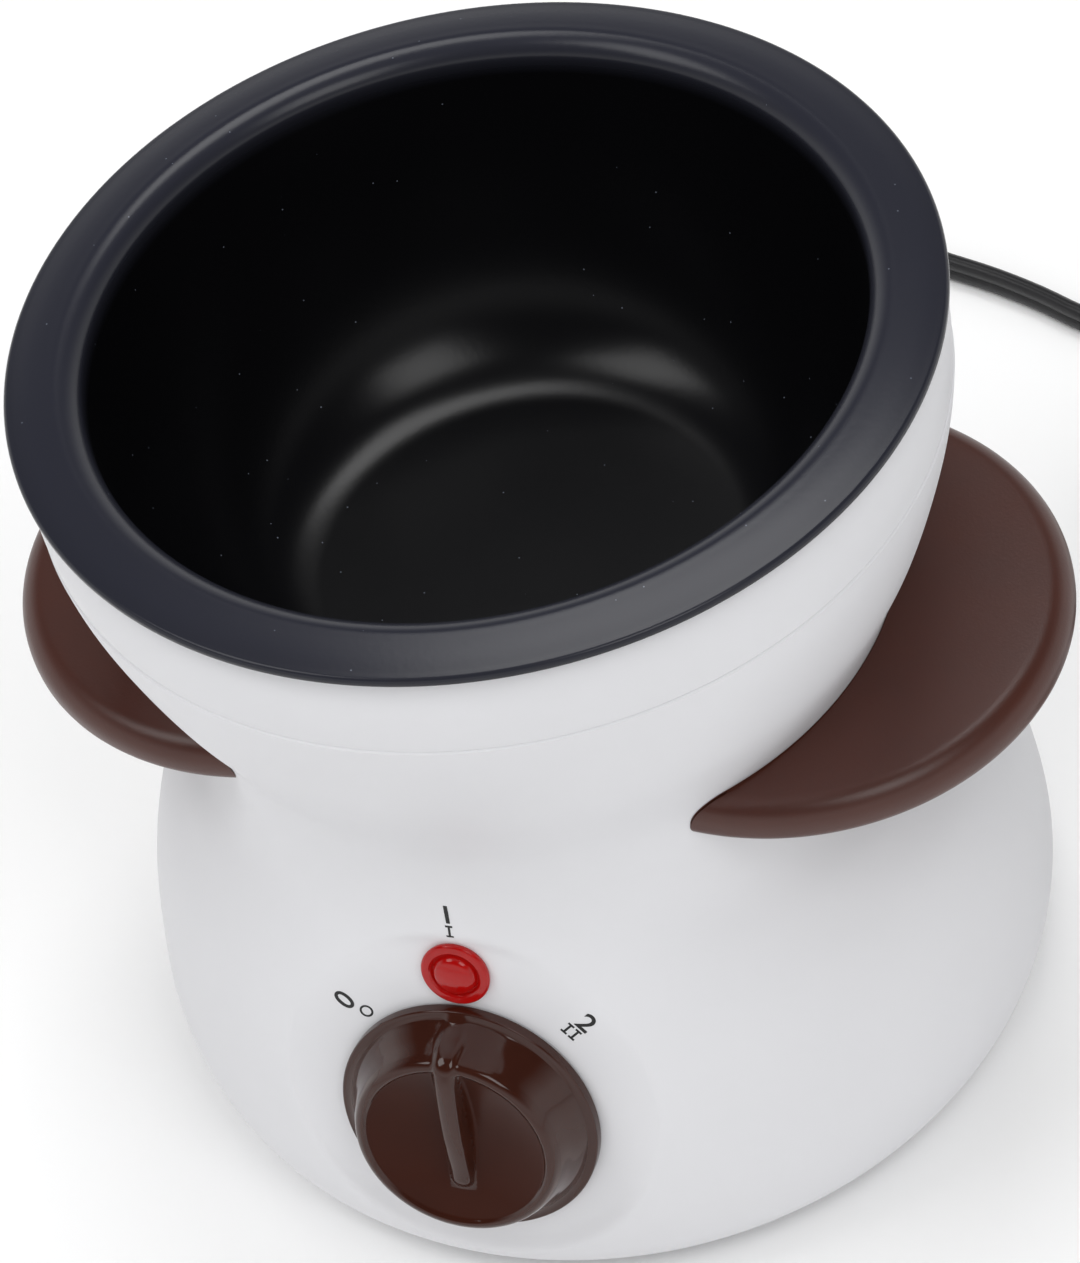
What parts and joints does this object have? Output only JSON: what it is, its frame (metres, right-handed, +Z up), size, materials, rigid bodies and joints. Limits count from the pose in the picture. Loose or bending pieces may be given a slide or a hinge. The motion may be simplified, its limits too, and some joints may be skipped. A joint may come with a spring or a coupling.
{
  "type": "electric fondue pot",
  "caption": "Round electric melting pot with a lift-out bowl, two side wings, a tilted panel with a rotary knob and a lamp, and a mains lead with its plug.",
  "frame": {"origin": "on the table under the middle of the pot, in the plane of the feet's undersides", "axes": "+Z up along the pot's axis, -Y towards the front with the knob, +X to the right wing"},
  "size_m": [0.2387, 0.2411, 0.1456],
  "materials": {
    "white_plastic": "moulded, satin",
    "pot_coating": "dark slate non-stick coating, satin",
    "aluminium_sheet": "spun, plain",
    "zinc_steel": "zinc plated",
    "mica": "pressed mica sheet",
    "resistance_ribbon": "rolled",
    "phenolic": "moulded",
    "fuse_ceramic": "plain",
    "brown_satin_plastic": "moulded, fine grain",
    "brown_gloss_plastic": "polished",
    "cream_plastic": "moulded",
    "brass": "plain",
    "red_lens": "clear red, polished",
    "lamp_glass": "clear",
    "foot_rubber": "moulded, matt",
    "lead_black": "extruded, satin",
    "plug_black": "moulded, satin",
    "nickel": "nickel plated",
    "wire_insulation": "extruded",
    "tie_plastic": "plain"
  },
  "bodies": {
    "base_unit": {"housing": "white_plastic", "collar_ring": "white_plastic", "inner_well": "aluminium_sheet", "heater_plate": "aluminium_sheet", "mica_sheets": "mica", "heating_element": "resistance_ribbon", "element_clamp": "zinc_steel", "heater_screws": "zinc_steel", "shield_spacers": "zinc_steel", "heat_shield": "zinc_steel", "thermostat": "phenolic", "thermal_fuse": "fuse_ceramic", "handle_left": "brown_satin_plastic", "handle_right": "brown_satin_plastic", "handle_screws": "zinc_steel", "switch_body": "cream_plastic", "switch_terminals": "brass", "switch_screws": "zinc_steel", "lamp_lens": "red_lens", "lamp_bulb": "lamp_glass", "lamp_push_ring": "zinc_steel", "base_plate": "white_plastic", "base_screws": "zinc_steel", "rubber_feet": "foot_rubber", "terminal_block": "cream_plastic", "terminal_screws": "zinc_steel", "cord_gland": "lead_black", "cord_clamp": "white_plastic", "cord_clamp_screws": "zinc_steel", "supply_lead": "lead_black", "supply_cores": "wire_insulation", "wire_live": "wire_insulation", "wire_heater": "wire_insulation", "wire_neutral": "wire_insulation", "link_wire": "wire_insulation", "lamp_leads": "wire_insulation", "power_cord": "lead_black", "cord_coil": "lead_black", "cord_tie": "tie_plastic", "plug_body": "plug_black", "plug_pins": "nickel"},
    "melting_pot": {"pot": "pot_coating"},
    "control": {"knob": "brown_gloss_plastic", "switch_shaft": "zinc_steel"}
  },
  "joints": [
    {"name": "pot_lift", "type": "slide", "parent": "base_unit", "child": "melting_pot", "axis": [0, 0, 1], "range_m": [0, 0.13]},
    {"name": "knob_turn", "type": "hinge", "parent": "base_unit", "child": "control", "pos_m": [0, -0.0648, 0.0371], "axis": [0, -0.9659, 0.2588], "range_deg": [-45, 45]}
  ]
}
